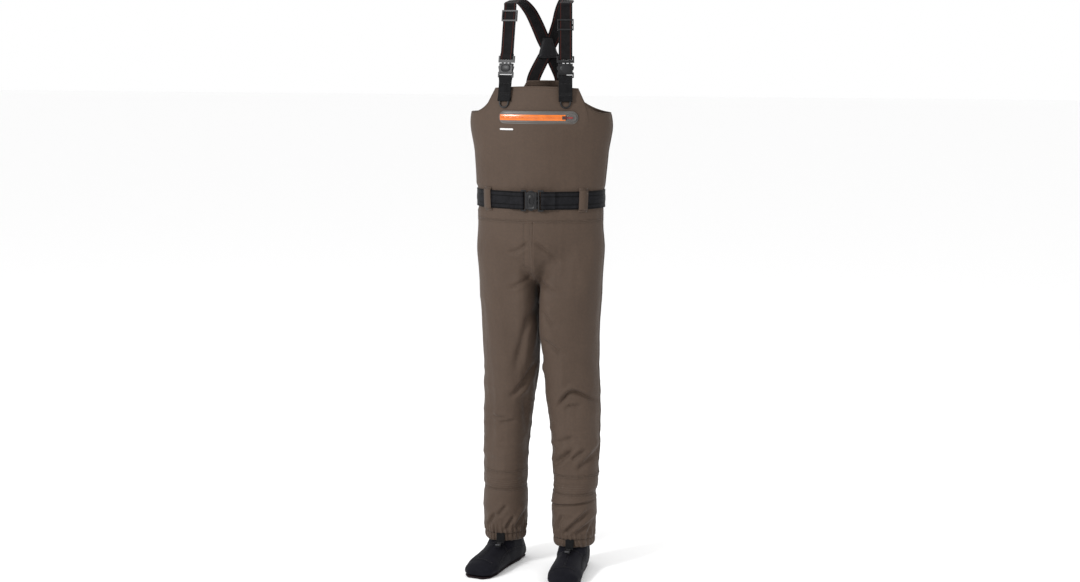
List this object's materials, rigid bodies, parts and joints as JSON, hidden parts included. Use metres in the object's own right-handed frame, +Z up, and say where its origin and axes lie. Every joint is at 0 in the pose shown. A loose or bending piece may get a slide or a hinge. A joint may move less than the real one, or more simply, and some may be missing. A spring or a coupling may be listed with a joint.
{
  "type": "chest waders",
  "caption": "Stockingfoot chest waders with bib, crossed webbing braces, side-release buckles, waist belt, zipped chest pocket, gravel guards and neoprene booties.",
  "frame": {"origin": "on the floor under the middle of the whole garment's box, soles on Z = 0", "axes": "+Z up the wearer's body, +X towards the wearer's left, front of the bib towards -Y"},
  "size_m": [0.4002, 0.3654, 1.6211],
  "materials": {
    "laminate": "matte",
    "elastic_hem": "matte",
    "neoprene": "matte",
    "sole": "matte",
    "belt_webbing": "satin",
    "webbing": "matte",
    "brace_webbing": "matte",
    "hook_metal": "satin",
    "patch_leather": "satin",
    "seam_tape": "satin",
    "print": "matte",
    "pocket_film": "satin",
    "zip_coating": "gloss",
    "zip_coil": "gloss",
    "pocket_lining": "matte",
    "slider_metal": "satin",
    "puller_cord": "matte",
    "acetal": "satin"
  },
  "bodies": {
    "garment": {"front_bib_panel": "laminate", "back_bib_panel": "laminate", "front_bib_facing": "laminate", "back_bib_facing": "laminate", "waist_seam_tape": "seam_tape", "left_front_leg_panel": "laminate", "left_shin_panel": "laminate", "left_back_leg_panel": "laminate", "right_front_leg_panel": "laminate", "right_shin_panel": "laminate", "right_back_leg_panel": "laminate", "left_bootie_upper": "neoprene", "left_bootie_sole": "sole", "left_gravel_guard": "laminate", "right_bootie_upper": "neoprene", "right_bootie_sole": "sole", "right_gravel_guard": "laminate", "belt_webbing": "belt_webbing", "belt_front_section": "belt_webbing", "front_belt_loops": "laminate", "rear_belt_loops": "laminate", "chest_label": "print", "pocket_surround": "pocket_film", "zipper_tape": "zip_coating", "zipper_coil": "zip_coil", "zipper_garage": "pocket_film", "pocket_bag": "pocket_lining", "left_shoulder_tab": "webbing", "left_buckle_female": "acetal", "left_front_strap": "brace_webbing", "left_rear_strap": "brace_webbing", "right_shoulder_tab": "webbing", "right_buckle_female": "acetal", "right_front_strap": "brace_webbing", "right_rear_strap": "brace_webbing", "cross_patch_inner": "patch_leather", "cross_patch_outer": "patch_leather", "belt_buckle_female": "acetal"},
    "left_ring": {"left_d_ring": "acetal"},
    "left_latch": {"left_buckle_male": "acetal"},
    "left_inner_clip": {"left_inner_prong": "acetal"},
    "left_outer_clip": {"left_outer_prong": "acetal"},
    "left_adjuster": {"left_strap_adjuster": "acetal"},
    "left_hem": {"left_guard_hem": "elastic_hem", "left_hook_tab": "webbing"},
    "left_hook": {"left_lace_hook": "hook_metal"},
    "right_ring": {"right_d_ring": "acetal"},
    "right_latch": {"right_buckle_male": "acetal"},
    "right_inner_clip": {"right_inner_prong": "acetal"},
    "right_outer_clip": {"right_outer_prong": "acetal"},
    "right_adjuster": {"right_strap_adjuster": "acetal"},
    "right_hem": {"right_guard_hem": "elastic_hem", "right_hook_tab": "webbing"},
    "right_hook": {"right_lace_hook": "hook_metal"},
    "belt_latch": {"belt_buckle_male": "acetal"},
    "belt_upper_clip": {"belt_upper_prong": "acetal"},
    "belt_lower_clip": {"belt_lower_prong": "acetal"},
    "zip_slider": {"zipper_slider": "slider_metal"},
    "zip_puller": {"zipper_puller": "puller_cord"}
  },
  "joints": [
    {"name": "left_d_ring_swing", "type": "hinge", "parent": "garment", "child": "left_ring", "pos_m": [0.087, -0.01377, 1.343], "axis": [-0.9781, -0.2079, 0], "range_deg": [0, 100]},
    {"name": "left_buckle_release", "type": "slide", "parent": "garment", "child": "left_latch", "axis": [-0.034, 0.1598, 0.9866], "range_m": [0, 0.035], "deforming": ["left_front_strap"]},
    {"name": "left_outer_prong_squeeze", "type": "hinge", "parent": "left_latch", "child": "left_outer_clip", "pos_m": [0.09428, 0.00489, 1.44412], "axis": [-0.2051, 0.965, -0.1633], "range_deg": [0, 6], "stiffness_Nm_per_rad": 0.3},
    {"name": "left_inner_prong_squeeze", "type": "hinge", "parent": "left_latch", "child": "left_inner_clip", "pos_m": [0.07276, 0.00032, 1.44412], "axis": [0.2051, -0.965, 0.1633], "range_deg": [0, 6], "stiffness_Nm_per_rad": 0.3},
    {"name": "left_strap_adjust", "type": "slide", "parent": "garment", "child": "left_adjuster", "axis": [0.034, -0.1598, -0.9866], "range_m": [0, 0.03]},
    {"name": "left_guard_lift", "type": "slide", "parent": "garment", "child": "left_hem", "axis": [0, 0, 1], "range_m": [0, 0.04], "deforming": ["left_gravel_guard"]},
    {"name": "left_hook_flip", "type": "hinge", "parent": "left_hem", "child": "left_hook", "pos_m": [0.104, -0.04357, 0.0776], "axis": [-1, 0, 0], "range_deg": [0, 95]},
    {"name": "right_d_ring_swing", "type": "hinge", "parent": "garment", "child": "right_ring", "pos_m": [-0.087, -0.01377, 1.343], "axis": [-0.9781, 0.2079, 0], "range_deg": [0, 100]},
    {"name": "right_buckle_release", "type": "slide", "parent": "garment", "child": "right_latch", "axis": [0.034, 0.1598, 0.9866], "range_m": [0, 0.035], "deforming": ["right_front_strap"]},
    {"name": "right_outer_prong_squeeze", "type": "hinge", "parent": "right_latch", "child": "right_outer_clip", "pos_m": [-0.09428, 0.00489, 1.44412], "axis": [-0.2051, -0.965, 0.1633], "range_deg": [0, 6], "stiffness_Nm_per_rad": 0.3},
    {"name": "right_inner_prong_squeeze", "type": "hinge", "parent": "right_latch", "child": "right_inner_clip", "pos_m": [-0.07276, 0.00032, 1.44412], "axis": [0.2051, 0.965, -0.1633], "range_deg": [0, 6], "stiffness_Nm_per_rad": 0.3},
    {"name": "right_strap_adjust", "type": "slide", "parent": "garment", "child": "right_adjuster", "axis": [-0.034, -0.1598, -0.9866], "range_m": [0, 0.05]},
    {"name": "right_guard_lift", "type": "slide", "parent": "garment", "child": "right_hem", "axis": [0, 0, 1], "range_m": [0, 0.04], "deforming": ["right_gravel_guard"]},
    {"name": "right_hook_flip", "type": "hinge", "parent": "right_hem", "child": "right_hook", "pos_m": [-0.104, -0.01357, 0.0776], "axis": [-1, 0, 0], "range_deg": [0, 95]},
    {"name": "belt_buckle_release", "type": "slide", "parent": "garment", "child": "belt_latch", "axis": [1, 0, 0], "range_m": [0, 0.03], "deforming": ["belt_front_section"]},
    {"name": "belt_upper_prong_squeeze", "type": "hinge", "parent": "belt_latch", "child": "belt_upper_clip", "pos_m": [0.0142, -0.04587, 1.0795], "axis": [0, -1, 0], "range_deg": [0, 5], "stiffness_Nm_per_rad": 0.4},
    {"name": "belt_lower_prong_squeeze", "type": "hinge", "parent": "belt_latch", "child": "belt_lower_clip", "pos_m": [0.0142, -0.04587, 1.0525], "axis": [0, 1, 0], "range_deg": [0, 5], "stiffness_Nm_per_rad": 0.4},
    {"name": "zipper_travel", "type": "hinge", "parent": "garment", "child": "zip_slider", "pos_m": [0, 0.35613, 1.295], "axis": [0, 0, -1], "range_deg": [0, 26]},
    {"name": "zipper_puller_flip", "type": "hinge", "parent": "zip_slider", "child": "zip_puller", "pos_m": [0.08422, -0.0261, 1.295], "axis": [0, 0, -1], "range_deg": [0, 170]}
  ],
  "couplings": [
    {"joint": "left_inner_prong_squeeze", "follows": "left_outer_prong_squeeze", "ratio": 1},
    {"joint": "right_inner_prong_squeeze", "follows": "right_outer_prong_squeeze", "ratio": 1},
    {"joint": "belt_lower_prong_squeeze", "follows": "belt_upper_prong_squeeze", "ratio": 1}
  ]
}
